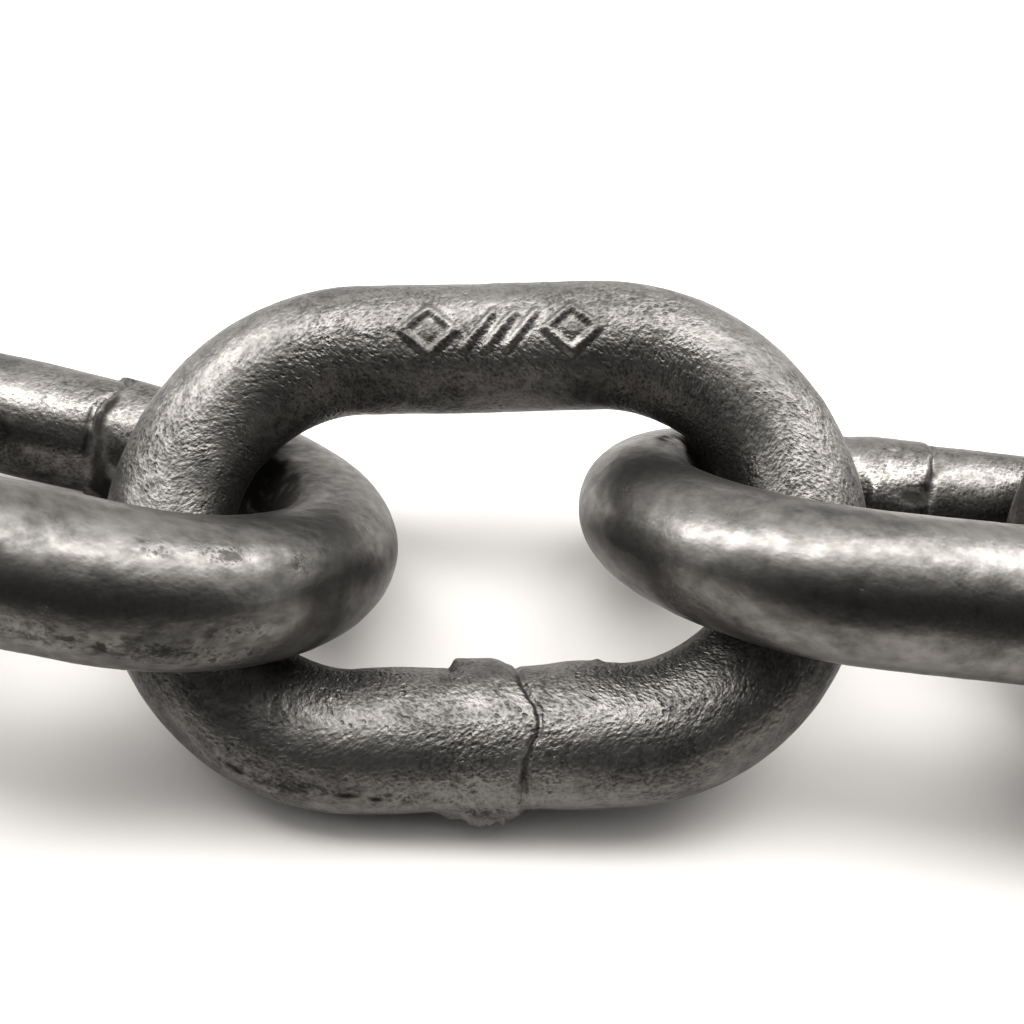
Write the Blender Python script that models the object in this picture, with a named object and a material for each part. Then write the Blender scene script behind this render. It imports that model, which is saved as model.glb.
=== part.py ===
"""One metre of welded steel link chain, laid out in a loose loop on a level floor.

Every link is its own closed solid: a round wire bent into an oval, with the low collar of its
butt weld around the middle of one straight side. Neighbouring links hook through each other and
lean to alternate sides, as slack chain does on a floor.

Frame: metres, +Z up, the floor at z = 0. The origin is under the middle of the whole loop, and
the straight run at the back lies along +X. Lay angles below are in degrees:
    yaw   heading of the link's long axis in plan, anticlockwise from +X
    tip   rise of the link's leading end
    lean  roll about the long axis; above zero the left-hand side of the heading is the high one
"""
import math

import bmesh
import bpy
import numpy as np
from mathutils import Matrix

# Driving dimensions of one link
WIRE = 0.010
INNER_LENGTH = 0.0370
INNER_WIDTH = 0.0199
BOW_REACH = 0.0143          # how far the curved end runs along the link, on the wire's axis
WELD_SWELL = 0.00025        # how far the weld collar stands proud of the wire
WELD_WIDTH = 0.0052         # flat top of the collar, along the wire
WELD_SLOPE = 0.0010         # run from the wire's surface up to the collar's top
CLEARANCE = 0.00050         # air kept between the round wires of two hooked links
HALVINGS = 24               # steps of the search that draws a link out to that clearance

HALF_LENGTH = (INNER_LENGTH + WIRE) / 2      # to the wire's axis
HALF_WIDTH = (INNER_WIDTH + WIRE) / 2
HALF_STRAIGHT = HALF_LENGTH - BOW_REACH

# Facets of the solids
SIDES = 10
BOW_STEPS = 10
# Corners stand as far outside the round wire, and outside the bow's curve, as flats lie inside
CORNER_FACTOR = 2 / (1 + math.cos(math.pi / SIDES))
BOW_FACTOR = 2 / (1 + math.cos(math.pi / (2 * BOW_STEPS)))

# The lay of the chain, link by link outward from the middle one.
# Each row: yaw, tip, lean, and a sidestep to the left in wire diameters.
MIDDLE_LINK = (0.0, 4.7, 27.2, 0.0)
RIGHT_RUN = (
    (-5.8, 0.0, -34.0, 0.14),
    (-10.0, 2.0, 29.0, 0.03),
    (-8.0, 0.0, -33.0, 0.0),
    (-20.0, 0.0, 34.0, 0.0),
    (-46.0, 0.0, -39.0, 0.0),
    (-74.0, 0.0, 40.0, 0.0),
    (-102.0, 0.0, -40.0, 0.0),
    (-129.0, 0.0, 39.5, 0.0),
    (-154.0, 0.0, -38.5, 0.0),
    (-174.0, 0.0, 36.0, 0.0),
    (-179.0, 0.0, -31.5, 0.0),
    (-170.0, 0.0, 33.0, 0.0),
    (-163.0, 0.0, -32.0, 0.0),
)
LEFT_RUN = (
    (-5.2, -11.2, -31.5, 0.04),
    (2.0, 0.0, 50.0, 0.0),
    (7.0, 0.0, -35.0, 0.0),
    (20.0, 0.0, 33.5, 0.0),
    (45.0, 0.0, -38.5, 0.0),
    (72.0, 0.0, 39.5, 0.0),
    (99.0, 0.0, -39.5, 0.0),
    (126.0, 0.0, 39.5, 0.0),
    (152.0, 0.0, -39.0, 0.0),
    (176.0, 0.0, 38.0, 0.0),
    (192.0, 0.0, -35.0, 0.0),
    (204.0, 0.0, 34.5, 0.0),
    (219.0, 0.0, -36.0, 0.0),
)
# The front row carries half a turn of twist, so its welds ride on the high sides
LINKS_WITH_WELD_HIGH = (1, 2, 3, 4, 5, 23, 24, 25, 26, 27)

STEEL_COLOUR = (0.105, 0.105, 0.108)
STEEL_METALLIC = 0.9
STEEL_ROUGHNESS = 0.40
ROUGHNESS_SPREAD = 0.03
ROUGHNESS_PACE = 2.4        # radians from one link to the next


def oval_stations():
    """The wire's axis once round the link: (x, y, outward angle, swell of the wire)."""
    stations = []
    for centre_x, first_turn in ((HALF_STRAIGHT, -0.5), (-HALF_STRAIGHT, 0.5)):
        for step in range(BOW_STEPS + 1):
            turn = math.pi * (first_turn + step / BOW_STEPS)
            stray = BOW_FACTOR if 0 < step < BOW_STEPS else 1.0
            x = centre_x + stray * BOW_REACH * math.cos(turn)
            y = stray * HALF_WIDTH * math.sin(turn)
            outward = math.atan2(BOW_REACH * math.sin(turn), HALF_WIDTH * math.cos(turn))
            stations.append((x, y, outward, 0.0))
    collar = WELD_WIDTH / 2
    foot = collar + WELD_SLOPE
    for x, swell in ((-foot, 0.0), (-collar, WELD_SWELL), (collar, WELD_SWELL), (foot, 0.0)):
        stations.append((x, -HALF_WIDTH, -math.pi / 2, swell))
    return stations


def wire_axis(samples=60):
    """Points along the wire's axis, close enough together to measure clearances with."""
    turns = np.linspace(-0.5, 0.5, samples) * math.pi
    bow = np.column_stack((HALF_STRAIGHT + BOW_REACH * np.cos(turns), HALF_WIDTH * np.sin(turns)))
    side = np.column_stack((
        np.linspace(HALF_STRAIGHT, -HALF_STRAIGHT, samples), np.full(samples, HALF_WIDTH)))
    half = np.vstack((bow, side))
    flat = np.vstack((half, -half))
    return np.column_stack((flat, np.zeros(len(flat))))


def turned(yaw, tip, lean):
    """Rotation of a link from lying flat along +X to its lay on the floor."""
    return (Matrix.Rotation(math.radians(yaw), 3, "Z")
            @ Matrix.Rotation(math.radians(-tip), 3, "Y")
            @ Matrix.Rotation(math.radians(lean), 3, "X"))


def laid_axis(place):
    """The wire's axis of a link laid at place = (x, y, (yaw, tip, lean)), touching the floor."""
    x, y, lay = place
    points = AXIS @ np.array(turned(*lay)).T
    return points + (x, y, WIRE / 2 - points[:, 2].min())


def air_between(place, other):
    """Smallest distance between the surfaces of two round wires."""
    apart = laid_axis(place)[:, None, :] - laid_axis(other)[None, :, :]
    return math.sqrt((apart ** 2).sum(axis=2).min()) - WIRE


def hooked_on(place, row, sense):
    """Lay the next link of a run, drawn out until it almost touches the one before it."""
    yaw, tip, lean, sidestep = row
    before = math.radians(place[2][0])
    after = math.radians(yaw)

    def at(spacing):
        reach = sense * spacing / 2
        aside = sidestep * WIRE
        x = place[0] + reach * (math.cos(before) + math.cos(after)) - aside * math.sin(after)
        y = place[1] + reach * (math.sin(before) + math.sin(after)) + aside * math.cos(after)
        return x, y, (yaw, tip, lean)

    slack = INNER_LENGTH - WIRE
    taut = INNER_LENGTH
    for _ in range(HALVINGS):
        middle = (slack + taut) / 2
        if air_between(place, at(middle)) >= CLEARANCE:
            slack = middle
        else:
            taut = middle
    return at(slack)


def lay_chain():
    """Places of all links, from the end of the left run to the end of the right one."""
    middle = (0.0, 0.0, MIDDLE_LINK[:3])
    runs = []
    for rows, sense in ((LEFT_RUN, -1), (RIGHT_RUN, 1)):
        run = [middle]
        for row in rows:
            run.append(hooked_on(run[-1], row, sense))
        runs.append(run[1:])
    left, right = runs
    return left[::-1] + [middle] + right


def link_mesh(name, lay, weld_high):
    """Mesh of one link about its own centre, with one facet of its low side facing the floor."""
    lean = lay[2]
    weld_on_left = (lean > 0) == weld_high
    half_turn = Matrix.Rotation(math.pi if weld_on_left else 0.0, 4, "Z")
    # Direction of the floor in the wire's section on the low side: zero points out of the oval
    floor_angle = -math.radians(90 - abs(lean))
    bm = bmesh.new()
    rings = []
    for x, y, outward, swell in oval_stations():
        ring = []
        radius = (WIRE / 2 + swell) * CORNER_FACTOR
        for corner in range(SIDES):
            angle = floor_angle + (corner + 0.5) * 2 * math.pi / SIDES
            out = radius * math.cos(angle)
            up = radius * math.sin(angle)
            ring.append(bm.verts.new((x + out * math.cos(outward), y + out * math.sin(outward), up)))
        rings.append(ring)
    for ring, following in zip(rings, rings[1:] + rings[:1]):
        for corner in range(SIDES):
            nearby = (corner + 1) % SIDES
            bm.faces.new((ring[corner], ring[nearby], following[nearby], following[corner]))
    bmesh.ops.recalc_face_normals(bm, faces=bm.faces)
    bmesh.ops.transform(bm, matrix=half_turn, verts=bm.verts)
    mesh = bpy.data.meshes.new(name)
    bm.to_mesh(mesh)
    bm.free()
    mesh.shade_smooth()
    return mesh


def steel(number):
    """Plain dark steel; neighbouring links differ a little in gloss."""
    material = bpy.data.materials.new(f"dark_steel_{number:02d}")
    material.use_nodes = True
    shader = material.node_tree.nodes["Principled BSDF"]
    shader.inputs["Base Color"].default_value = (*STEEL_COLOUR, 1.0)
    shader.inputs["Metallic"].default_value = STEEL_METALLIC
    shader.inputs["Roughness"].default_value = (
        STEEL_ROUGHNESS + ROUGHNESS_SPREAD * math.sin(ROUGHNESS_PACE * number))
    return material


def add_link(number, place):
    """One link object, resting on the floor at its place."""
    x, y, lay = place
    name = f"link_{number:02d}"
    mesh = link_mesh(name, lay, number in LINKS_WITH_WELD_HIGH)
    mesh.materials.append(steel(number))
    link = bpy.data.objects.new(name, mesh)
    bpy.context.scene.collection.objects.link(link)
    rotation = turned(*lay)
    lowest = min((rotation @ vertex.co).z for vertex in mesh.vertices)
    link.matrix_world = Matrix.Translation((x, y, -lowest)) @ rotation.to_4x4()
    return link


for leftover in list(bpy.data.objects):
    bpy.data.objects.remove(leftover)

AXIS = wire_axis()
PLACES = lay_chain()
PLAN = np.vstack([laid_axis(place)[:, :2] for place in PLACES])
MIDDLE_X, MIDDLE_Y = (PLAN.min(axis=0) + PLAN.max(axis=0)) / 2

for NUMBER, (X, Y, LAY) in enumerate(PLACES, start=1):
    add_link(NUMBER, (X - MIDDLE_X, Y - MIDDLE_Y, LAY))
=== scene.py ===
# %% [markdown]
# # A length of welded chain
# This lesson dresses one metre of dark steel chain that lies slack on a pale floor. The packed
# solids say where every link lies. Each one is a plain faceted oval, good for weight and contact,
# and here each gets a skin of its own: round wire, weld flash, forged grain, pits, and grime with painted
# shade in the bows and crevices.

# %% Load the imported chain
import itertools
import math

import bpy
import numpy as np
from mathutils import Matrix, Vector


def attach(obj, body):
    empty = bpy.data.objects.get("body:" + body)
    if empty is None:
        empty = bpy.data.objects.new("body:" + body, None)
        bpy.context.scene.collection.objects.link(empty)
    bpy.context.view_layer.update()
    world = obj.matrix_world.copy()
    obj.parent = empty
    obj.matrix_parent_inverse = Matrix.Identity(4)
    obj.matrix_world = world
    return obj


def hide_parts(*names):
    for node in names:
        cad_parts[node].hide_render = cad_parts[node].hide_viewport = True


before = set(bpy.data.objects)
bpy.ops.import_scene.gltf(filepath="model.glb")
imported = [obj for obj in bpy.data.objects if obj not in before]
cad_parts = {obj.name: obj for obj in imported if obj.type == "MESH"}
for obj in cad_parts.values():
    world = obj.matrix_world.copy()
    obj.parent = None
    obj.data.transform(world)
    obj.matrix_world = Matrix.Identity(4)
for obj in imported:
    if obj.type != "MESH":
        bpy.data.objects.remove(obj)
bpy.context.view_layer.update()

print("links in the frame:", len(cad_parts))

# %% [markdown]
# ## Sizes that every link shares
# A link is one round wire bent into an oval with two straight sides and two curved bows. All
# lengths on the link are worked in millimetres, because a chain maker's marks are a millimetre or
# less, and they are turned into metres only when the mesh is made.

# %% Sizes of one link, in millimetres
MM = 0.001
WIRE_RADIUS = 5.0
HALF_LENGTH = 23.5          # to the wire's axis, along the link
HALF_WIDTH = 14.95          # to the wire's axis, across the link
BOW_REACH = 14.3            # run of a bow along the link
HALF_STRAIGHT = HALF_LENGTH - BOW_REACH
MIDDLE_LINK = "link_14"
LEFT_LINK = "link_13"
RIGHT_LINK = "link_15"
EDGE_LINK = "link_16"       # a sliver of it shows at the right edge of the photograph
NODES = sorted(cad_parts)
print("link over all, mm:", 2 * (HALF_LENGTH + WIRE_RADIUS), "by", 2 * (HALF_WIDTH + WIRE_RADIUS))

# %% [markdown]
# ## Where each link lies
# A solid's mass is spread along its length first, then across, and least along its thin
# direction. So the axes of its second moment are the link's own axes, whatever way it leans. The
# weld collar adds many small faces on one side, which tells the welded side from the plain one.

# %% Read a link's centre and axes from its solid
def where_it_lies(node):
    """Returns (centre, matrix) in mm; the matrix's columns are along, across and normal.

    The normal points up, and the weld is on the side away from across."""
    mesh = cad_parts[node].data
    mesh.calc_loop_triangles()
    points = np.empty(3 * len(mesh.vertices))
    mesh.vertices.foreach_get("co", points)
    points = points.reshape(-1, 3) / MM
    corners = points[np.array([triangle.vertices for triangle in mesh.loop_triangles])]
    share = np.einsum("ij,ij->i", corners[:, 0], np.cross(corners[:, 1], corners[:, 2]))
    sums = corners.sum(axis=1)
    centre = (share[:, None] * sums).sum(axis=0) / (4 * share.sum())
    products = np.einsum("ija,ijb->iab", corners, corners) + np.einsum("ia,ib->iab", sums, sums)
    moment = (share[:, None, None] * products).sum(axis=0) / (20 * share.sum())
    _, axes = np.linalg.eigh(moment - np.outer(centre, centre))
    normal, across = axes[:, 0], axes[:, 1]
    if normal[2] < 0:
        normal = -normal
    if (corners.mean(axis=(0, 1)) - centre) @ across > 0:
        across = -across
    return centre, np.column_stack((np.cross(across, normal), across, normal))


PLACES = {node: where_it_lies(node) for node in NODES}
for node in (LEFT_LINK, MIDDLE_LINK, RIGHT_LINK):
    print(node, "centre, mm:", PLACES[node][0].round(2), "along:", PLACES[node][1][:, 0].round(3))

# %% [markdown]
# ## The camera
# The photograph is a close look down on three links, from just above the near side of the middle
# one. The camera is placed from that link's centre, in wire diameters, so it keeps its view if
# the chain is laid elsewhere. It is a little rolled, which is why the chain seems to climb.

# %% Camera
WIRE = 2 * WIRE_RADIUS * MM
CAMERA_FROM_LINK = (-0.3644, -5.2751, 7.4208)     # right, back and height, in wire diameters
CAMERA_YAW = 5.870
CAMERA_DOWN = 48.047
CAMERA_ROLL = 6.220
FRAME_PIXELS = 1024
FOCAL_PIXELS = 1082.9
SENSOR = 36.0


def camera_matrix(place, yaw, down, roll):
    """World matrix of a camera that looks down by some degrees, turned right by yaw."""
    yaw, down, roll = (math.radians(angle) for angle in (yaw, down, roll))
    forward = Vector((math.sin(yaw) * math.cos(down), math.cos(yaw) * math.cos(down), -math.sin(down)))
    right = forward.cross(Vector((0, 0, 1))).normalized()
    up = right.cross(forward)
    right_rolled = math.cos(roll) * right + math.sin(roll) * up
    up_rolled = math.cos(roll) * up - math.sin(roll) * right
    columns = Matrix((right_rolled, up_rolled, -forward)).transposed()
    return Matrix.Translation(place) @ columns.to_4x4()


MIDDLE = Vector((PLACES[MIDDLE_LINK][0][0] * MM, PLACES[MIDDLE_LINK][0][1] * MM, 0.0))
camera_data = bpy.data.cameras.new("photo_camera")
camera_data.sensor_width = SENSOR
camera_data.lens = SENSOR * FOCAL_PIXELS / FRAME_PIXELS
camera_data.clip_start = 0.005
camera = bpy.data.objects.new("photo_camera", camera_data)
bpy.context.scene.collection.objects.link(camera)
camera.matrix_world = camera_matrix(
    MIDDLE + WIRE * Vector(CAMERA_FROM_LINK), CAMERA_YAW, CAMERA_DOWN, CAMERA_ROLL)
bpy.context.scene.camera = camera
print("camera at", [round(value, 4) for value in camera.location], "lens", round(camera_data.lens, 2))

# %% [markdown]
# ## Noise and soft shapes for relief
# Forged and tumbled steel is never even. A value noise on a cubic lattice gives every bump a
# place in space and the same answer on each run. It could be a Displace modifier with a cloud
# texture, but worked out here it can be mixed with the weld and the dents before anything moves.
# Three small helpers shape everything else: a soft step, a round hump, and an angle that wraps.

# %% Lattice noise and soft shapes
# Large odd numbers that scramble a corner of the lattice into a height that looks random
CORNER_SCRAMBLE = (73856093, 19349663, 83492791)
SEED_SCRAMBLE = 2654435
LAST_SCRAMBLE = 1274126177
SEED_SHIFT = 17.31          # cells that the lattice is moved by for each seed


def lattice_noise(points, size, seed):
    """Smooth noise from -1 to 1 at points of shape (n, 3), with lumps about size across."""
    cells = points / size + seed * SEED_SHIFT
    low = np.floor(cells).astype(np.int64)
    part = cells - low
    fade = part * part * (3 - 2 * part)
    total = np.zeros(len(points))
    for corner in itertools.product((0, 1), repeat=3):
        key = (low + corner) * CORNER_SCRAMBLE
        mixed = key[:, 0] ^ key[:, 1] ^ key[:, 2] ^ (seed * SEED_SCRAMBLE)
        mixed = (mixed ^ (mixed >> 13)) * LAST_SCRAMBLE & 0xFFFFFFFF
        mixed = (mixed ^ (mixed >> 16)) & 0xFFFF
        weight = np.prod(np.where(corner, fade, 1 - fade), axis=1)
        total += weight * (mixed / 32767.5 - 1)
    return total


def smooth_step(low, high, value):
    """0 below low, 1 above high, and a soft ramp between; low may be the larger one."""
    share = np.clip((value - low) / (high - low), 0, 1)
    return share * share * (3 - 2 * share)


def hump(value, middle, half_width):
    """A round bump of height 1, about as wide as half_width on each side."""
    return np.exp(-((value - middle) / half_width) ** 2)


def around_gap(around, middle):
    """Angle from middle, in degrees, never more than 180."""
    return abs((around - middle + 180) % 360 - 180)


print("noise at three places:", lattice_noise(np.eye(3) * 1.7, 1.0, 3).round(3))

# %% [markdown]
# ## A grid on the wire
# The skin is a grid wound on the wire: one direction runs along the wire's axis from the middle
# of the weld once round the oval, the other runs around the wire. Rows stand closer together at
# the weld and at the stamped mark, where the small shapes are, and further apart in the bows.

# %% The wire's axis and the grid on it
AXIS_SAMPLES = 1500
FINE_SAMPLES = 4001
WELD_CROWDING = (12, 7)     # mm from the weld where rows begin to close up, and stand closest
MARK_CROWDING = (13, 8)     # the same from the mark


def axis_table():
    """Distance run along the wire's axis, position and outward direction, once round the oval."""
    side = np.linspace(0, HALF_STRAIGHT, AXIS_SAMPLES)
    turn = np.linspace(-0.5, 0.5, 2 * AXIS_SAMPLES) * math.pi
    lower = np.column_stack((side, np.full(AXIS_SAMPLES, -HALF_WIDTH)))
    bow = np.column_stack((HALF_STRAIGHT + BOW_REACH * np.cos(turn), HALF_WIDTH * np.sin(turn)))
    upper = np.column_stack((side[::-1], np.full(AXIS_SAMPLES, HALF_WIDTH)))
    half = np.vstack((lower[:-1], bow[:-1], upper))
    path = np.vstack((half, -half[1:]))
    run = np.concatenate(([0], np.cumsum(np.linalg.norm(np.diff(path, axis=0), axis=1))))
    ahead = np.gradient(path, run, axis=0)
    ahead /= np.linalg.norm(ahead, axis=1)[:, None]
    return run, path, np.column_stack((ahead[:, 1], -ahead[:, 0]))


RUN, PATH, OUTWARD = axis_table()
ROUND_TRIP = RUN[-1]
MARK_PLACE = ROUND_TRIP / 2


def row_places(count, focus):
    """Places of the grid's rows along the axis, crowded by focus at the weld and the mark."""
    fine = np.linspace(0, ROUND_TRIP, FINE_SAMPLES)
    near_weld = smooth_step(*WELD_CROWDING, np.minimum(fine, ROUND_TRIP - fine))
    near_mark = smooth_step(*MARK_CROWDING, abs(fine - MARK_PLACE))
    crowd = 1 + focus * (near_weld + near_mark)
    share = np.concatenate(([0], np.cumsum((crowd[1:] + crowd[:-1]) / 2)))
    return np.interp(np.arange(count) / count * share[-1], share, fine)


def wire_grid(rows, columns, focus):
    """For every point of the grid: place along the wire, angle around it, centre and direction."""
    place = row_places(rows, focus)
    angle = np.arange(columns) * 360 / columns
    path = np.column_stack([np.interp(place, RUN, PATH[:, k]) for k in (0, 1)])
    outward = np.column_stack([np.interp(place, RUN, OUTWARD[:, k]) for k in (0, 1)])
    outward /= np.linalg.norm(outward, axis=1)[:, None]
    place_grid, angle_grid = (grid.ravel() for grid in np.meshgrid(place, angle, indexing="ij"))
    out = np.repeat(outward, columns, axis=0)
    cosine, sine = np.cos(np.radians(angle_grid)), np.sin(np.radians(angle_grid))
    direction = np.column_stack((out[:, 0] * cosine, out[:, 1] * cosine, sine))
    centre = np.column_stack((np.repeat(path, columns, axis=0), np.zeros(rows * columns)))
    return place_grid, angle_grid, centre, direction


print("wire's axis, mm round the oval:", round(ROUND_TRIP, 2))

# %% [markdown]
# ## The weld
# The wire's two ends meet in the middle of one side and are pressed together white-hot. Steel is
# squeezed out as flash, and a trimmer shears most of it off. What stays is a low collar with a
# sharp seam on one side, a ragged burr at the outer edge, where the trimmer left it, and pits. It
# could be a bump map, but the collar shows in the outline, so it is real relief on the grid.
# Angles around the wire are in degrees: 0 points out of the oval, 90 up, and 180 into it.

# %% Weld relief
NO_WELD_BEYOND = 13.0       # mm from the middle of the weld
SEAM_WOBBLE = 0.10
INNER_SIDE = 176            # where the collar is highest
OUTER_EDGE = -4             # where the flash was sheared off
BURR_EDGE = -6
GROOVE_DEPTH = 0.34         # the seam itself
CREASE_DEPTH = 0.14         # where the collar starts
NIB_HEIGHT = 0.35
RIDGE_HEIGHT = 0.06         # the trimmer's chatter beside the seam


def seam_line(around, weld):
    """Where the seam lies along the wire, for each angle around it."""
    return weld["seam"] + weld["lean"] * hump(around, 100, 24) - 0.3 * hump(around, 180, 35)


def weld_relief(along, around, points, weld, seed):
    """Height of the weld over the plain wire. along is counted from the middle of the weld."""
    seam = seam_line(around, weld) + SEAM_WOBBLE * lattice_noise(points, 0.7, seed + 3)
    ragged = lattice_noise(points, 0.9, seed) * 0.6 + lattice_noise(points, 0.4, seed + 1) * 0.4
    inner = hump(around, INNER_SIDE, 34)
    outer = hump(around_gap(around, OUTER_EDGE), 0, 26)

    start = weld["start"] + 0.25 * lattice_noise(points, 1.6, seed + 2)
    rise = smooth_step(start - 0.25 - 1.0 * (1 - inner), start + 0.35 + 1.5 * (1 - inner), along)
    fall = smooth_step(seam + 0.28, seam - 0.12 - 1.5 * inner, along)
    relief = rise * fall * (weld["band"] + weld["collar"] * inner + 0.25 * outer)

    burr = smooth_step(-4.3, -2.6, along) * smooth_step(seam + 0.2, seam - 1.6, along)
    burr *= hump(around_gap(around, BURR_EDGE), 0, 9) * (0.7 + 0.75 * ragged)
    relief += weld["burr"] * burr

    groove = hump(along, seam + 0.18, 0.20) * smooth_step(5, 40, around) * smooth_step(190, 165, around)
    relief -= GROOVE_DEPTH * groove * (1 + 0.6 * ragged)
    crease = hump(along, weld["start"] - 0.1, 0.22)
    crease *= smooth_step(140, 165, around) * smooth_step(215, 180, around)
    relief -= CREASE_DEPTH * crease

    upset = hump(along, 7.0, 2.4) * (0.12 + 0.33 * inner) + hump(along, -8.5, 3.2) * (0.05 + 0.24 * inner)
    nib = NIB_HEIGHT * hump(along, 7.9, 0.35) * hump(around, 172, 5)
    relief += weld["upset"] * (upset + nib)
    chatter = np.sin(along * 9 + 2 * ragged) * hump(along, seam + 0.5, 1.0) * hump(around, 30, 35)
    relief += RIDGE_HEIGHT * chatter
    for pit_along, pit_around, width, height, depth in weld["pits"]:
        reach = ((along - pit_along) / width) ** 2 + ((around - pit_around) / height) ** 2
        relief -= depth * np.exp(-reach) * (1 + 0.4 * ragged)
    return relief


# Along the wire, in mm: how far the weld is off the middle, where its collar starts, where its
# seam is and how far that leans. Then heights: the collar all round and on the inner side, the
# burr, and the share of the full upset that the wire has beside it.
# Pits: mm along the wire, degrees around it, half sizes in the same terms, and depth.
MIDDLE_WELD = {
    "shift": 0.0, "start": -2.6, "seam": 2.1, "lean": 1.3,
    "band": 0.14, "collar": 0.55, "burr": 0.75, "upset": 1.0,
    "pits": (
        (3.5, 121, 0.14, 3, 0.15), (0.75, 129, 0.20, 4, 0.13), (-1.0, 48, 0.25, 6, 0.30),
        (-1.5, 14, 0.40, 4, 0.45), (-0.2, 10, 0.35, 4, 0.48), (0.5, 13, 0.25, 4, 0.40),
        (5.2, 100, 0.35, 3, 0.10), (7.0, 70, 0.45, 4, 0.12))}
LEFT_WELD = {
    "shift": 4.2, "start": -4.2, "seam": 2.0, "lean": -2.0,
    "band": 0.42, "collar": 0.25, "burr": 0.4, "upset": 0.3,
    "pits": ((1.1, 192, 0.75, 30, 0.60), (1.5, 152, 0.5, 10, 0.20), (0.7, 131, 0.5, 10, 0.15))}
RIGHT_WELD = {
    "shift": 0.0, "start": -3.6, "seam": 1.9, "lean": 0.6,
    "band": 0.26, "collar": 0.40, "burr": 0.4, "upset": 0.3,
    "pits": ((0.3, 164, 1.6, 7, 0.20), (2.6, 128, 0.3, 8, 0.15), (-1.0, 120, 0.4, 6, 0.15))}
CLOSE_WELDS = {MIDDLE_LINK: MIDDLE_WELD, LEFT_LINK: LEFT_WELD, RIGHT_LINK: RIGHT_WELD}
CHANCE_PITS = 6


def chance_weld(seed):
    """A weld like the middle link's, with its own sizes and pits."""
    chance = np.random.default_rng(seed)
    pits = tuple(
        (chance.uniform(-2.5, 3.5), chance.uniform(10, 170), chance.uniform(0.2, 0.4),
         chance.uniform(3, 7), chance.uniform(0.12, 0.35)) for _ in range(CHANCE_PITS))
    return {
        "shift": chance.uniform(-1.0, 1.0), "start": chance.uniform(-3.2, -2.4),
        "seam": chance.uniform(1.6, 2.8), "lean": chance.uniform(-1.5, 1.5),
        "band": chance.uniform(0.1, 0.3), "collar": chance.uniform(0.3, 0.6),
        "burr": chance.uniform(0.25, 0.65), "upset": chance.uniform(0.4, 1.0), "pits": pits}


print("weld values of one other link:", {k: v for k, v in chance_weld(5).items() if k != "pits"})

# %% [markdown]
# ## The stamped mark
# A forge leaves raised signs on the plain side of some links. Here they are plain shapes with no
# meaning: a hollow lozenge, three slanted bars, and a hollow lozenge. Each is a signed distance:
# below zero inside the shape, above zero outside. A soft step over that distance raises the sign,
# and a second one sinks the shallow moat that the die pressed round it.

# %% Mark relief
MARK_MIDDLE = (1.4, 96.5)   # mm along the plain side, degrees around the wire
MARK_RISE = 0.25
MARK_MOAT = 0.09
STROKE = 0.33               # half the width of a raised line
LOZENGE_PLACES = (-5.3, 5.3)
LOZENGE_HALF_SIZES = (1.95, 1.75)
BAR_PLACES = (-1.6, 0.0, 1.6)
BAR_HALF_HEIGHT = 1.4
BAR_SLANT = 0.8             # run of a bar to the right for each mm of its height


def lozenge(x, y, half_long, half_high):
    """Distance to the outline of a lozenge, less than zero on the line's own width."""
    inside = (abs(x) / half_long + abs(y) / half_high - 1) * half_long * half_high
    return abs(inside / math.hypot(half_long, half_high)) - STROKE


def slanted_bar(x, y, half_high):
    """Distance to a short bar that leans to the right."""
    along_bar = np.clip((BAR_SLANT * x + y) / (BAR_SLANT ** 2 + 1), -half_high, half_high)
    return np.hypot(x - BAR_SLANT * along_bar, y - along_bar) - STROKE


def mark_relief(along, around):
    """Height of the mark; along is counted from the middle of the plain side."""
    x = along - MARK_MIDDLE[0]
    y = -(around - MARK_MIDDLE[1]) * math.radians(1) * WIRE_RADIUS
    shapes = [lozenge(x - place, y, *LOZENGE_HALF_SIZES) for place in LOZENGE_PLACES]
    shapes += [slanted_bar(x - place, y, BAR_HALF_HEIGHT) for place in BAR_PLACES]
    gap = np.minimum.reduce(shapes)
    raised = smooth_step(0.10, -0.30, gap)
    moat = hump(gap, 0.20, 0.12)
    return MARK_RISE * raised - MARK_MOAT * moat


print("mark's rise, mm:", MARK_RISE)
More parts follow.
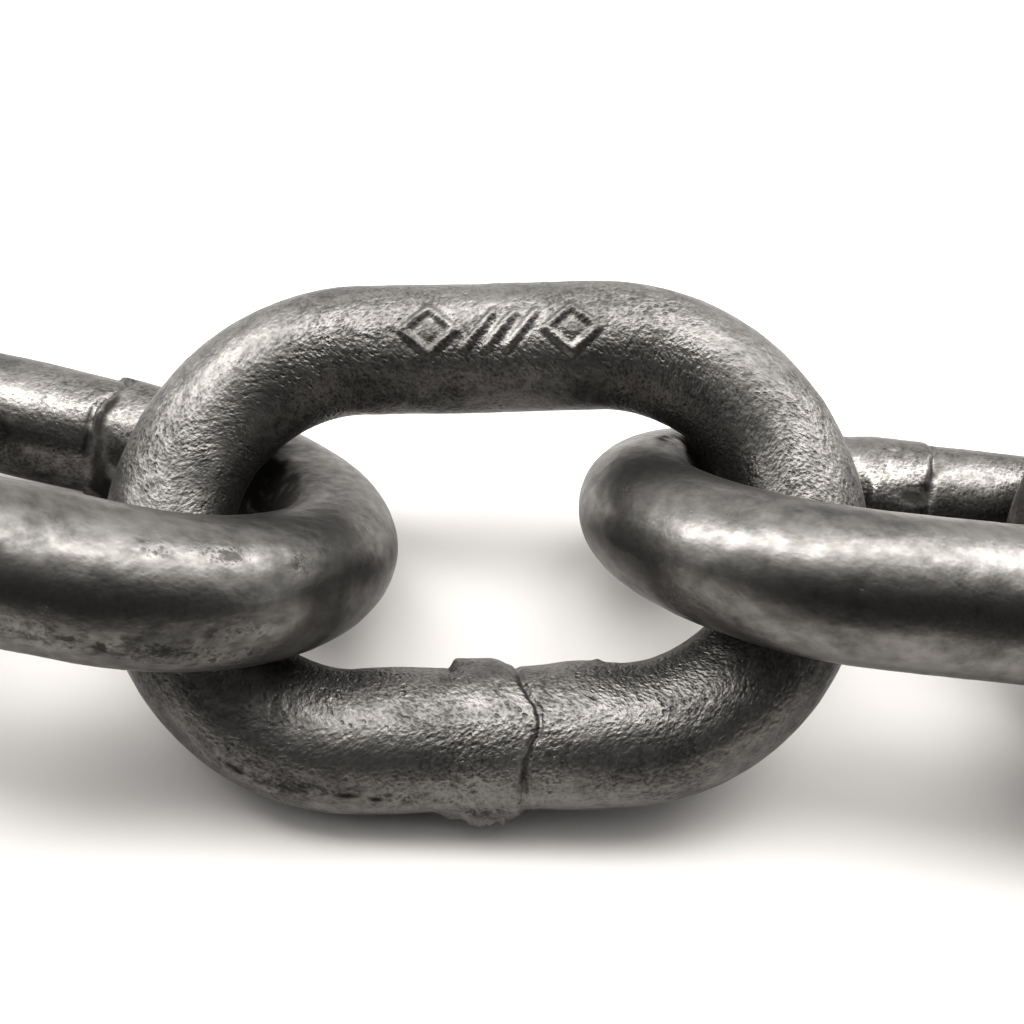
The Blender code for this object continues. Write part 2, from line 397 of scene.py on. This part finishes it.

# %% [markdown]
# ## Where the skin is stained, packed with grime or given painted shade
# The links in front show single blotches and black seams that chance can't place. Each is a soft
# dab on the straightened wire: millimetres from the weld, degrees around the wire, half sizes in
# the same terms, and strength. The black dabs are partly grime and dark seams, and partly painted
# shade: the crevices where links cross, the middle link's shadow on the left one, the underside of
# the left link's far bar, the ledge under the right weld, and the sliver of the link at the right edge.
# They could be painted on an image, but an image needs a file, and a dab is one short row that says where it
# is.

# %% Stains, grime and painted shade
STAINS = {
    LEFT_LINK: (
        (-51.6, 54, 1.0, 11, 0.9), (-48.2, 52, 1.3, 13, 0.9), (-43.9, 44, 0.9, 10, 1.0),
        (-47.0, 356, 2.6, 7, 0.8), (-49.5, 337, 3.4, 8, 0.8),
        (-54.0, 338, 6.0, 16, 0.9), (-46.5, 325, 4.0, 12, 0.7)),
    MIDDLE_LINK: (
        (-12.5, 44, 3.4, 10, 1.0), (-6.5, 36, 3.0, 10, 0.9), (-60.0, 200, 9.0, 10, 0.6),
        (-0.8, 12, 2.2, 10, 0.9), (2.2, 55, 0.8, 25, 0.7)),
    RIGHT_LINK: ((44.0, 330, 5.0, 14, 0.5),)}
# Black dabs: grime and dark seams, and painted shade in crossings, on undersides and under the right weld's
# ledge
GRIME_AND_SHADE = {
    LEFT_LINK: (
        (-3.6, 125, 0.35, 9, 0.9), (-3.2, 138, 0.4, 9, 1.0), (-2.8, 153, 0.5, 10, 1.1),
        (-3.3, 180, 0.7, 18, 1.2), (-3.9, 205, 0.8, 18, 1.2),
        (0.0, 225, 16.0, 22, 0.6), (-18.5, 118, 3.0, 16, 0.8)),
    MIDDLE_LINK: (
        (-0.8, 8, 1.8, 7, 0.4), (2.3, 60, 0.5, 25, 0.6),
        (-15.8, 40, 0.9, 4, 0.9), (-9.6, 41, 1.0, 4, 0.9), (-7.6, 36, 0.6, 4, 0.8)),
    RIGHT_LINK: (
        (23.0, 124, 5.5, 20, 1.3), (28.5, 97, 3.0, 7, 0.7),
        (-0.2, 166, 1.5, 7, 1.2), (-1.9, 140, 0.3, 20, 0.9)),
    # painted shade on the visible sliver of the link at the right edge
    EDGE_LINK: ((-34.5, 30, 6.0, 40, 1.2),)}


def dabs(places, node, from_weld, around):
    """Sum of the soft dabs that belong to a link."""
    total = np.zeros(len(around))
    for along, angle, half_long, half_around, strength in places.get(node, ()):
        spread = hump(around_gap(around, angle), 0, half_around)
        total += strength * hump(from_weld, along, half_long) * spread
    return total


for title, places in (("stains", STAINS), ("grime_and_shade", GRIME_AND_SHADE)):
    print(title, {node: len(rows) for node, rows in places.items()})

# %% [markdown]
# ## The skin of one link
# Here everything comes together. The plain round wire gets its slow unevenness, thinner bows, the
# spots where neighbours have worn it, the weld and the mark. Then the grid is turned to where the
# link lies and set down so that its lowest point just touches the floor. Values are kept on the
# mesh for the steel to read: the place on the straightened wire, and how much grain, grime and
# painted shade, heat and stain the skin has there.

# %% Height and wear of a link's skin
SLOW_LUMPS = (0.07, 7.0)    # height and size in mm
QUICK_LUMPS = (0.035, 2.6)
FINE_LUMPS = (0.016, 0.8)   # only on the links seen close up
BOW_THINNING = 0.12         # mm that the bends have drawn the wire thinner
WEAR_DEPTH = 0.50           # mm that the neighbour has worn into the inside of a bow
LEAST_GRAIN = 0.45
WORN_SMOOTH = 0.82          # share of the grain that is gone where a worn link stands up
# Blackening inside the bows: partly grime, partly painted shade where the next link crowds in
BOW_GRIME_AND_SHADE = 0.1
WORN_BOW_GRIME_AND_SHADE = 1.0


def run_from_weld(place):
    """Distance along the wire from the middle of the weld, with a sign."""
    return (place + ROUND_TRIP / 2) % ROUND_TRIP - ROUND_TRIP / 2


def lumps(points, height_and_size, seed):
    """Slow or quick unevenness of the wire."""
    height, size = height_and_size
    return height * lattice_noise(points, size, seed)


def skin_relief(place, angle, centre, points, weld, marked, shown_close, seed, seam_side):
    """Height of the skin over the plain round wire."""
    from_weld = run_from_weld(place)
    bow = smooth_step(HALF_STRAIGHT, HALF_LENGTH, abs(centre[:, 0]))
    inside = smooth_step(55, 12, around_gap(angle, 180))
    weld_near = smooth_step(NO_WELD_BEYOND, 3, abs(from_weld))
    weld_along = seam_side * from_weld + weld["shift"]

    relief = lumps(points, SLOW_LUMPS, seed) + lumps(points, QUICK_LUMPS, seed + 1)
    relief -= BOW_THINNING * bow + WEAR_DEPTH * bow ** 4 * inside
    relief += weld_relief(weld_along, angle, points, weld, seed + 2) * weld_near
    if marked:
        relief += mark_relief(MARK_PLACE - place, angle)
    if shown_close:
        relief += lumps(points, FINE_LUMPS, seed + 5)
    return relief


def skin_wear(node, place, angle, centre, points, worn, seed):
    """The values that the steel reads, apart from the place on the straightened wire."""
    from_weld = run_from_weld(place)
    coarse = lattice_noise(points, 6.0, seed + 6) + 0.3 * lattice_noise(points, 2.0, seed + 7)
    grain = LEAST_GRAIN + (1 - LEAST_GRAIN) * smooth_step(-0.55, 0.35, coarse)
    if worn:
        plain_side = smooth_step(-4, 6, centre[:, 1])
        rear_bow = smooth_step(HALF_STRAIGHT, HALF_STRAIGHT + 6, -centre[:, 0])
        grain *= 1 - WORN_SMOOTH * np.maximum(plain_side, rear_bow)

    # Inside of the bows made black: grime and painted shade of the crowded crown, plus the dabs
    crown = smooth_step(HALF_STRAIGHT - 3, HALF_LENGTH - 7, abs(centre[:, 0]))
    inside = smooth_step(66, 36, around_gap(angle, 180))
    grime_and_shade = (WORN_BOW_GRIME_AND_SHADE if worn else BOW_GRIME_AND_SHADE) * crown * inside
    grime_and_shade += dabs(GRIME_AND_SHADE, node, from_weld, angle)
    grime_and_shade *= 1 + 0.45 * lattice_noise(points, 0.9, seed + 9) + 0.3 * lattice_noise(points, 0.35, seed + 10)

    heat = smooth_step(9, 2, abs(from_weld)) * (0.6 + 0.4 * lattice_noise(points, 3.0, seed + 8))
    return {
        "grain": grain, "grime_and_shade": smooth_step(0.12, 0.9, grime_and_shade), "heat": heat,
        "stain": dabs(STAINS, node, from_weld, angle)}


print("deepest wear in a bow, mm:", WEAR_DEPTH)

# %% Mesh of a link's skin
def bar_places(place, angle, rows, columns, weld, seam_side):
    """Place of every face corner on the straightened wire; the cut follows the weld's seam."""
    place = place.reshape(rows, columns)
    angle = angle.reshape(rows, columns)
    following = np.roll(place, -1, axis=0)
    following[-1] += ROUND_TRIP
    beside = np.roll(angle, -1, axis=1)
    beside[:, -1] += 360
    seam = seam_side * (seam_line(angle, weld) - weld["shift"])
    seam_beside = seam_side * (seam_line(beside % 360, weld) - weld["shift"])
    corners = (
        (place, angle, seam), (following, angle, seam),
        (following, beside, seam_beside), (place, beside, seam_beside))
    turns = np.floor(((place + following) / 2 - (seam + seam_beside) / 2) / ROUND_TRIP)
    found = []
    for run, around, cut in corners:
        found.append(np.stack((
            run - cut - turns * ROUND_TRIP,
            WIRE_RADIUS * np.cos(np.radians(around)),
            WIRE_RADIUS * np.sin(np.radians(around))), axis=-1))
    return np.stack(found, axis=2).reshape(-1, 3)


def wound_mesh(name, points, rows, columns):
    """Mesh of a grid that closes on itself both ways; points are in mm."""
    row, column = np.meshgrid(np.arange(rows), np.arange(columns), indexing="ij")
    next_row, next_column = (row + 1) % rows, (column + 1) % columns
    faces = np.stack((
        row * columns + column, next_row * columns + column,
        next_row * columns + next_column, row * columns + next_column), axis=-1).reshape(-1, 4)
    mesh = bpy.data.meshes.new(name)
    mesh.vertices.add(len(points))
    mesh.vertices.foreach_set("co", (points * MM).astype(np.float32).ravel())
    mesh.loops.add(faces.size)
    mesh.loops.foreach_set("vertex_index", faces.ravel().astype(np.int32))
    mesh.polygons.add(len(faces))
    mesh.polygons.foreach_set("loop_start", np.arange(0, faces.size, 4, dtype=np.int32))
    mesh.update(calc_edges=True)
    return mesh


def skin_mesh(node, rows, columns, focus, weld, seam_side, marked, worn, shown_close):
    """Mesh of a link's skin, in place, with the values that the steel reads."""
    seed = 100 * int(node[-2:])
    place, angle, centre, direction = wire_grid(rows, columns, focus)
    points = centre + WIRE_RADIUS * direction
    relief = skin_relief(place, angle, centre, points, weld, marked, shown_close, seed, seam_side)
    points = points + relief[:, None] * direction
    middle, axes = PLACES[node]
    world = points @ axes.T + middle
    world[:, 2] -= world[:, 2].min()
    mesh = wound_mesh(node + "_skin", world, rows, columns)
    for name, values in skin_wear(node, place, angle, centre, points, worn, seed).items():
        kept = mesh.attributes.new(name, "FLOAT", "POINT")
        kept.data.foreach_set("value", values.astype(np.float32))
    bar = bar_places(place, angle, rows, columns, weld, seam_side)
    kept = mesh.attributes.new("bar_place", "FLOAT_VECTOR", "CORNER")
    kept.data.foreach_set("vector", bar.astype(np.float32).ravel())
    mesh.shade_smooth()
    return mesh


print("girth of the round wire, mm:", round(2 * math.pi * WIRE_RADIUS, 1))

# %% [markdown]
# ## Steel, part one: shared effects
# Three effects appear in every steel of this chain, so each is a node group with named sockets.
# `hammered` gives the height of the forged skin, which is fine grain with low lumps and patches
# of pores, and a mask of the tops that shine. `pitted` gives small dark pits that gather in
# patches, with softer stains around them. `uneven_tone` gives slow light and dark. All three read
# the place on the straightened wire, so the grain follows each bow as it would on a bent bar.

# %% Node group helpers
def new_group(name, inputs, outputs):
    """Empty shader node group with float or vector sockets, and its input and output nodes."""
    group = bpy.data.node_groups.new(name, "ShaderNodeTree")
    for socket, kind, value in inputs:
        made = group.interface.new_socket(socket, in_out="INPUT", socket_type=kind)
        if value is not None:
            made.default_value = value
    for socket, kind in outputs:
        group.interface.new_socket(socket, in_out="OUTPUT", socket_type=kind)
    return group, group.nodes.new("NodeGroupInput"), group.nodes.new("NodeGroupOutput")


def wire(tree, source, target):
    """Link one socket to another."""
    tree.links.new(source, target)


def maths(tree, operation, first, second=None, clamp=False):
    """A Math node; first and second are sockets or numbers."""
    node = tree.nodes.new("ShaderNodeMath")
    node.operation = operation
    node.use_clamp = clamp
    for socket, value in zip(node.inputs, (first, second)):
        if isinstance(value, (int, float)):
            socket.default_value = value
        elif value is not None:
            wire(tree, value, socket)
    return node.outputs[0]


def shrunk(tree, vector, size):
    """The vector divided by size, which is one number or one for each axis."""
    node = tree.nodes.new("ShaderNodeVectorMath")
    node.operation = "DIVIDE"
    wire(tree, vector, node.inputs[0])
    node.inputs[1].default_value = size if isinstance(size, tuple) else (size, size, size)
    return node.outputs[0]


def noise(tree, vector, size, detail=2.0, roughness=0.5):
    """Noise texture with lumps about size across."""
    node = tree.nodes.new("ShaderNodeTexNoise")
    node.inputs["Scale"].default_value = 1.0
    node.inputs["Detail"].default_value = detail
    node.inputs["Roughness"].default_value = roughness
    wire(tree, shrunk(tree, vector, size), node.inputs["Vector"])
    return node.outputs["Fac"]


def ramp(tree, value, low, high, out_low=0.0, out_high=1.0):
    """Smooth remap of a value."""
    node = tree.nodes.new("ShaderNodeMapRange")
    node.interpolation_type = "SMOOTHSTEP"
    wire(tree, value, node.inputs["Value"])
    for name, number in zip(("From Min", "From Max", "To Min", "To Max"), (low, high, out_low, out_high)):
        node.inputs[name].default_value = number
    return node.outputs["Result"]


print("helpers ready")

# %% Hammered, pitted and uneven groups
# Sizes on the straightened wire, in mm; where there are three, the first is along the wire
GRAIN_SIZE = 0.26
LUMP_SIZE = 0.50
PORE_SIZE = 0.56
PORE_PATCH_SIZE = 2.6
PORE_DEPTH = 0.30           # as a share of the grain's height
FLECK_SIZE = (0.22, 0.26, 0.26)
FLECK_PATCH_SIZE = (3.4, 2.4, 2.4)
SPOT_SIZE = 0.7
CLOUD_SIZE = (7.0, 5.0, 5.0)
WAVE_SIZE = 1.0


def hammered_group():
    """Height of fine grain, low lumps and patches of pores, and a mask of the shining tops."""
    group, given, result = new_group(
        "hammered", [("Bar Place", "NodeSocketVector", None), ("Grain", "NodeSocketFloat", 1.0)],
        [("Height", "NodeSocketFloat"), ("Shine", "NodeSocketFloat")])
    bar = given.outputs["Bar Place"]
    fine = noise(group, bar, GRAIN_SIZE, 1.5, 0.6)
    low_lumps = noise(group, bar, LUMP_SIZE, 1.0)
    cells = group.nodes.new("ShaderNodeTexVoronoi")
    cells.inputs["Scale"].default_value = 1.0
    wire(group, shrunk(group, bar, PORE_SIZE), cells.inputs["Vector"])
    patches = ramp(group, noise(group, bar, PORE_PATCH_SIZE, 1.0), 0.42, 0.60)
    pores = maths(group, "MULTIPLY", ramp(group, cells.outputs["Distance"], 0.38, 0.16), patches)
    height = maths(group, "MULTIPLY", maths(group, "ADD", fine, low_lumps), 0.5)
    height = maths(group, "SUBTRACT", height, maths(group, "MULTIPLY", pores, PORE_DEPTH))
    wire(group, maths(group, "MULTIPLY", height, given.outputs["Grain"]), result.inputs["Height"])
    shine = maths(group, "SUBTRACT", ramp(group, fine, 0.28, 0.64), maths(group, "MULTIPLY", pores, 0.7))
    wire(group, shine, result.inputs["Shine"])
    return group


def pitted_group():
    """Mask of small ragged pits gathered in patches, and of soft spots where Amount is high."""
    group, given, result = new_group(
        "pitted", [("Bar Place", "NodeSocketVector", None), ("Amount", "NodeSocketFloat", 0.5)],
        [("Pits", "NodeSocketFloat")])
    bar, amount = given.outputs["Bar Place"], given.outputs["Amount"]
    flecks = noise(group, bar, FLECK_SIZE)
    patches = noise(group, bar, FLECK_PATCH_SIZE, 2.0, 0.6)
    level = maths(
        group, "ADD", maths(group, "MULTIPLY", patches, 0.55), maths(group, "MULTIPLY", flecks, 0.55))
    threshold = maths(group, "SUBTRACT", 0.76, maths(group, "MULTIPLY", amount, 0.2))
    over = maths(group, "MULTIPLY", maths(group, "SUBTRACT", level, threshold), 5.0, clamp=True)
    spots = ramp(group, noise(group, bar, SPOT_SIZE), 0.48, 0.66)
    soft = maths(group, "MULTIPLY", spots, maths(group, "SUBTRACT", amount, 0.3, clamp=True))
    wire(group, maths(group, "MAXIMUM", over, soft), result.inputs["Pits"])
    return group


def uneven_group():
    """Slow light and dark between 0 and 1, with a finer cloud on top."""
    group, given, result = new_group(
        "uneven_tone", [("Bar Place", "NodeSocketVector", None)],
        [("Tone", "NodeSocketFloat"), ("Waves", "NodeSocketFloat")])
    slow = noise(group, given.outputs["Bar Place"], CLOUD_SIZE)
    quick = noise(group, given.outputs["Bar Place"], WAVE_SIZE, 2.5)
    total = maths(group, "ADD", maths(group, "MULTIPLY", slow, 0.55), maths(group, "MULTIPLY", quick, 0.45))
    wire(group, ramp(group, total, 0.28, 0.72), result.inputs["Tone"])
    wire(group, quick, result.inputs["Waves"])
    return group


HAMMERED, PITTED, UNEVEN = hammered_group(), pitted_group(), uneven_group()
print("groups:", HAMMERED.name, PITTED.name, UNEVEN.name)

# %% [markdown]
# ## Steel, part two: the finish
# The chain is sold self-coloured: bare steel with a thin grey skin of mill scale, no paint and no
# zinc. One function makes the steel, and each finish gives it its own values. The base colour is
# dark for a metal, because scale and dirt swallow light. The links beside the middle one are
# rubbed smoother and a little lighter. The weld's heat has left the steel around it darker, and
# pits are nearly black and dull. The grime and painted shade in the bows and crevices are not metal
# at all: they are black and mirror nothing, even at a low angle, where bare steel would flash.

# %% Steel materials
STEEL_LIGHT = (0.135, 0.130, 0.124)
STEEL_DARK = (0.040, 0.039, 0.037)
PIT_BLACK = (0.012, 0.011, 0.010, 1.0)
# Specular level of the skin, seen only where the grime and painted shade take the metal away
GRIME_AND_SHADE_GLOSS = 0.0
GRAIN_CONTRAST = 0.7        # how much lighter the tops of the grain are than its hollows
HEAT_STAIN = 0.35
PIT_DARKNESS = 0.75
# How black the grime and painted shade in bows and crevices make the colour
GRIME_AND_SHADE_DARKNESS = 0.95
PIT_DULLNESS = 0.25         # added to the roughness
PIT_DEPTH = 0.35            # as a share of the bump's height


def placed(tree, group, **values):
    """A group node in a material, with some of its inputs set or linked."""
    node = tree.nodes.new("ShaderNodeGroup")
    node.node_tree = group
    for name, value in values.items():
        socket = node.inputs[name.replace("_", " ").title()]
        if isinstance(value, (int, float)):
            socket.default_value = value
        else:
            wire(tree, value, socket)
    return node.outputs


def attribute(tree, name, output="Fac"):
    """A value kept on the mesh."""
    node = tree.nodes.new("ShaderNodeAttribute")
    node.attribute_name = name
    return node.outputs[output]


def mix_colour(tree, factor, first, second):
    """Blend of two colours, each a tuple or a socket."""
    node = tree.nodes.new("ShaderNodeMix")
    node.data_type = "RGBA"
    wire(tree, factor, node.inputs["Factor"])
    for socket, value in ((node.inputs["A"], first), (node.inputs["B"], second)):
        if isinstance(value, tuple):
            socket.default_value = value
        else:
            wire(tree, value, socket)
    return node.outputs["Result"]


def shade(colour, brightness):
    """A colour made lighter or darker, with its alpha."""
    return tuple(brightness * value for value in colour) + (1.0,)


def steel(name, brightness, edge_tint, relief_height, pit_amount, roughness_low, roughness_high, mottling):
    """Self-coloured chain steel; a low edge_tint keeps the far edges of the wire dull."""
    light, dark = shade(STEEL_LIGHT, brightness), shade(STEEL_DARK, brightness)
    material = bpy.data.materials.new(name)
    material.use_nodes = True
    tree = material.node_tree
    shader = tree.nodes["Principled BSDF"]
    bar = attribute(tree, "bar_place", "Vector")
    grime_and_shade = attribute(tree, "grime_and_shade")
    heat = attribute(tree, "heat")
    grain = attribute(tree, "grain")
    stain = maths(tree, "ADD", attribute(tree, "stain"), pit_amount)
    uneven = placed(tree, UNEVEN, bar_place=bar)
    pits = placed(tree, PITTED, bar_place=bar, amount=stain)["Pits"]
    hammered = placed(tree, HAMMERED, bar_place=bar, grain=grain)

    tops = maths(tree, "MULTIPLY", maths(tree, "SUBTRACT", hammered["Shine"], 0.5), grain)
    lightness = maths(tree, "ADD", uneven["Tone"], maths(tree, "MULTIPLY", tops, GRAIN_CONTRAST), clamp=True)
    colour = mix_colour(tree, lightness, dark, light)
    colour = mix_colour(tree, maths(tree, "MULTIPLY", heat, HEAT_STAIN), colour, dark)
    # Pits, and the grime and painted shade in bows and crevices, turn the colour black
    black = maths(
        tree, "MAXIMUM", maths(tree, "MULTIPLY", pits, PIT_DARKNESS),
        maths(tree, "MULTIPLY", grime_and_shade, GRIME_AND_SHADE_DARKNESS))
    colour = mix_colour(tree, black, colour, PIT_BLACK)
    wire(tree, colour, shader.inputs["Base Color"])
    wire(tree, maths(tree, "SUBTRACT", 1.0, grime_and_shade, clamp=True), shader.inputs["Metallic"])
    shader.inputs["Specular IOR Level"].default_value = GRIME_AND_SHADE_GLOSS
    shader.inputs["Specular Tint"].default_value = (edge_tint, edge_tint, edge_tint, 1.0)

    roughness = ramp(tree, uneven["Tone"], 0.0, 1.0, roughness_high, roughness_low)
    roughness = maths(tree, "ADD", roughness, maths(tree, "MULTIPLY", pits, PIT_DULLNESS), clamp=True)
    wire(tree, roughness, shader.inputs["Roughness"])

    bump = tree.nodes.new("ShaderNodeBump")
    bump.inputs["Distance"].default_value = relief_height * MM
    height = maths(tree, "SUBTRACT", hammered["Height"], maths(tree, "MULTIPLY", pits, PIT_DEPTH))
    height = maths(tree, "ADD", height, maths(tree, "MULTIPLY", uneven["Waves"], mottling))
    wire(tree, height, bump.inputs["Height"])
    wire(tree, bump.outputs["Normal"], shader.inputs["Normal"])
    return material


SCALED_STEEL = steel(
    "scaled_steel", brightness=0.90, edge_tint=0.95, relief_height=0.150, pit_amount=0.30,
    roughness_low=0.41, roughness_high=0.49, mottling=0.3)
RUBBED_STEEL = steel(
    "rubbed_steel", brightness=0.98, edge_tint=0.72, relief_height=0.075, pit_amount=0.25,
    roughness_low=0.31, roughness_high=0.39, mottling=0.35)
print("steels:", SCALED_STEEL.name, RUBBED_STEEL.name)

# %% [markdown]
# ## Dress every link
# The middle link is closest to the camera and gets the finest grid, its two neighbours the next,
# and the rest enough to show their welds. Every fourth link carries the mark. The neighbours of
# the middle link are worn smooth on the side that stands up, as the photograph shows.

# %% Make the skins
GRIDS = {MIDDLE_LINK: (620, 144), LEFT_LINK: (400, 120), RIGHT_LINK: (400, 120)}
MARKED_GRID = (236, 60)
COMMON_GRID = (180, 48)
CLOSE_FOCUS = 0.6
COMMON_FOCUS = 0.9
MARKED_LINKS = NODES[1::4]
# Which way along the link the weld's collar lies from its seam
SEAM_SIDES = {RIGHT_LINK: -1}
TRIANGLES = {}


def dress(node):
    """Give one link its skin and its steel."""
    marked = node in MARKED_LINKS
    shown_close = node in GRIDS
    worn = node in (LEFT_LINK, RIGHT_LINK)
    rows, columns = GRIDS.get(node, MARKED_GRID if marked else COMMON_GRID)
    weld = CLOSE_WELDS.get(node) or chance_weld(int(node[-2:]))
    mesh = skin_mesh(
        node, rows, columns, CLOSE_FOCUS if shown_close else COMMON_FOCUS, weld,
        SEAM_SIDES.get(node, 1), marked=marked, worn=worn, shown_close=shown_close)
    mesh.materials.append(RUBBED_STEEL if worn else SCALED_STEEL)
    piece = bpy.data.objects.new(node + "_skin", mesh)
    bpy.context.scene.collection.objects.link(piece)
    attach(piece, "root")
    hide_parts(node)
    TRIANGLES[node] = 2 * rows * columns


for node in NODES:
    dress(node)
print("triangles:", sum(TRIANGLES.values()), "most in one link:", max(TRIANGLES.values()))

# %% [markdown]
# ## Floor and light
# The chain lies on a seamless white surface. Two long softboxes hang above it, one to the left
# and one to the right, and each draws a bright band along the wires that face it. The room in
# front is dark, which gives the near-black band below those, and the lit floor gives the pale
# strip at the bottom of each wire.

# %% Floor
FLOOR_COLOUR = (0.487, 0.475, 0.465)
FLOOR_CLOUD = 0.985         # how much darker the board's faint clouds are
FLOOR_RADIUS = 6
FLOOR_SIDES = 64


def make_floor():
    """A wide flat disc of matt white board."""
    turns = [side * 2 * math.pi / FLOOR_SIDES for side in range(FLOOR_SIDES)]
    corners = [(FLOOR_RADIUS * math.cos(turn), FLOOR_RADIUS * math.sin(turn), 0) for turn in turns]
    mesh = bpy.data.meshes.new("floor")
    mesh.from_pydata(corners, [], [list(range(FLOOR_SIDES))])
    material = bpy.data.materials.new("white_board")
    material.use_nodes = True
    tree = material.node_tree
    shader = tree.nodes["Principled BSDF"]
    cloud = noise(tree, tree.nodes.new("ShaderNodeTexCoord").outputs["Object"], 0.15)
    colour = mix_colour(tree, cloud, shade(FLOOR_COLOUR, 1.0), shade(FLOOR_COLOUR, FLOOR_CLOUD))
    wire(tree, colour, shader.inputs["Base Color"])
    shader.inputs["Roughness"].default_value = 0.75
    shader.inputs["Specular IOR Level"].default_value = 0.2
    mesh.materials.append(material)
    floor = bpy.data.objects.new("floor", mesh)
    bpy.context.scene.collection.objects.link(floor)


make_floor()
print("floor laid at z = 0")

# %% Light
LIGHT_COLOUR = (1.0, 0.985, 0.965)
SOFTBOX_DISTANCE = 0.50
SOFTBOX_LENGTH = 0.64
# Each row: degrees to the right, degrees behind straight up, width, watts for each square metre
SOFTBOXES = ((-34.5, 13.0, 0.15, 58.0), (26.0, 18.0, 0.19, 35.0))
ROOM_BACK = 2.1
ROOM_FRONT = 0.04
FRONT_EDGES = (0.02, 0.50)  # how far forward a direction points where the dark begins, and is full
ROOM_TOP = 1.2
TOP_EDGES = (0.72, 1.0)
TOP_LEAN = 0.28             # the bright part overhead leans back by this much


def add_softbox(side, lean, width, watts):
    """A long rectangular light that faces the middle link from one side."""
    data = bpy.data.lights.new("softbox", "AREA")
    data.shape = "RECTANGLE"
    data.size = width
    data.size_y = SOFTBOX_LENGTH
    data.energy = watts * width * SOFTBOX_LENGTH
    data.color = LIGHT_COLOUR
    box = bpy.data.objects.new("softbox", data)
    bpy.context.scene.collection.objects.link(box)
    side, lean = math.radians(side), math.radians(lean)
    away = Vector((math.sin(side), math.cos(side) * math.sin(lean), math.cos(side) * math.cos(lean)))
    box.location = MIDDLE + SOFTBOX_DISTANCE * away
    box.rotation_euler = (MIDDLE - box.location).to_track_quat("-Z", "Y").to_euler()


def light_room():
    """World light: dark in front, grey behind and at the sides, and brightest overhead."""
    world = bpy.data.worlds.new("studio")
    bpy.context.scene.world = world
    world.use_nodes = True
    tree = world.node_tree
    background = tree.nodes["Background"]
    split = tree.nodes.new("ShaderNodeSeparateXYZ")
    wire(tree, tree.nodes.new("ShaderNodeTexCoord").outputs["Generated"], split.inputs[0])
    forward = maths(tree, "MULTIPLY", split.outputs["Y"], -1.0)
    room = ramp(tree, forward, *FRONT_EDGES, ROOM_BACK, ROOM_FRONT)
    leaned = maths(tree, "ADD", split.outputs["Z"], maths(tree, "MULTIPLY", split.outputs["Y"], TOP_LEAN))
    top = ramp(tree, leaned, *TOP_EDGES, 0.0, ROOM_TOP)
    # Where nothing stands before it, the camera sees at least plain white
    seen = tree.nodes.new("ShaderNodeLightPath").outputs["Is Camera Ray"]
    strength = maths(tree, "MAXIMUM", maths(tree, "ADD", room, top), seen)
    background.inputs["Color"].default_value = (*LIGHT_COLOUR, 1.0)
    wire(tree, strength, background.inputs["Strength"])


for softbox in SOFTBOXES:
    add_softbox(*softbox)
light_room()
bpy.context.scene.view_settings.view_transform = "Standard"
print("lights:", [light.name for light in bpy.data.lights])
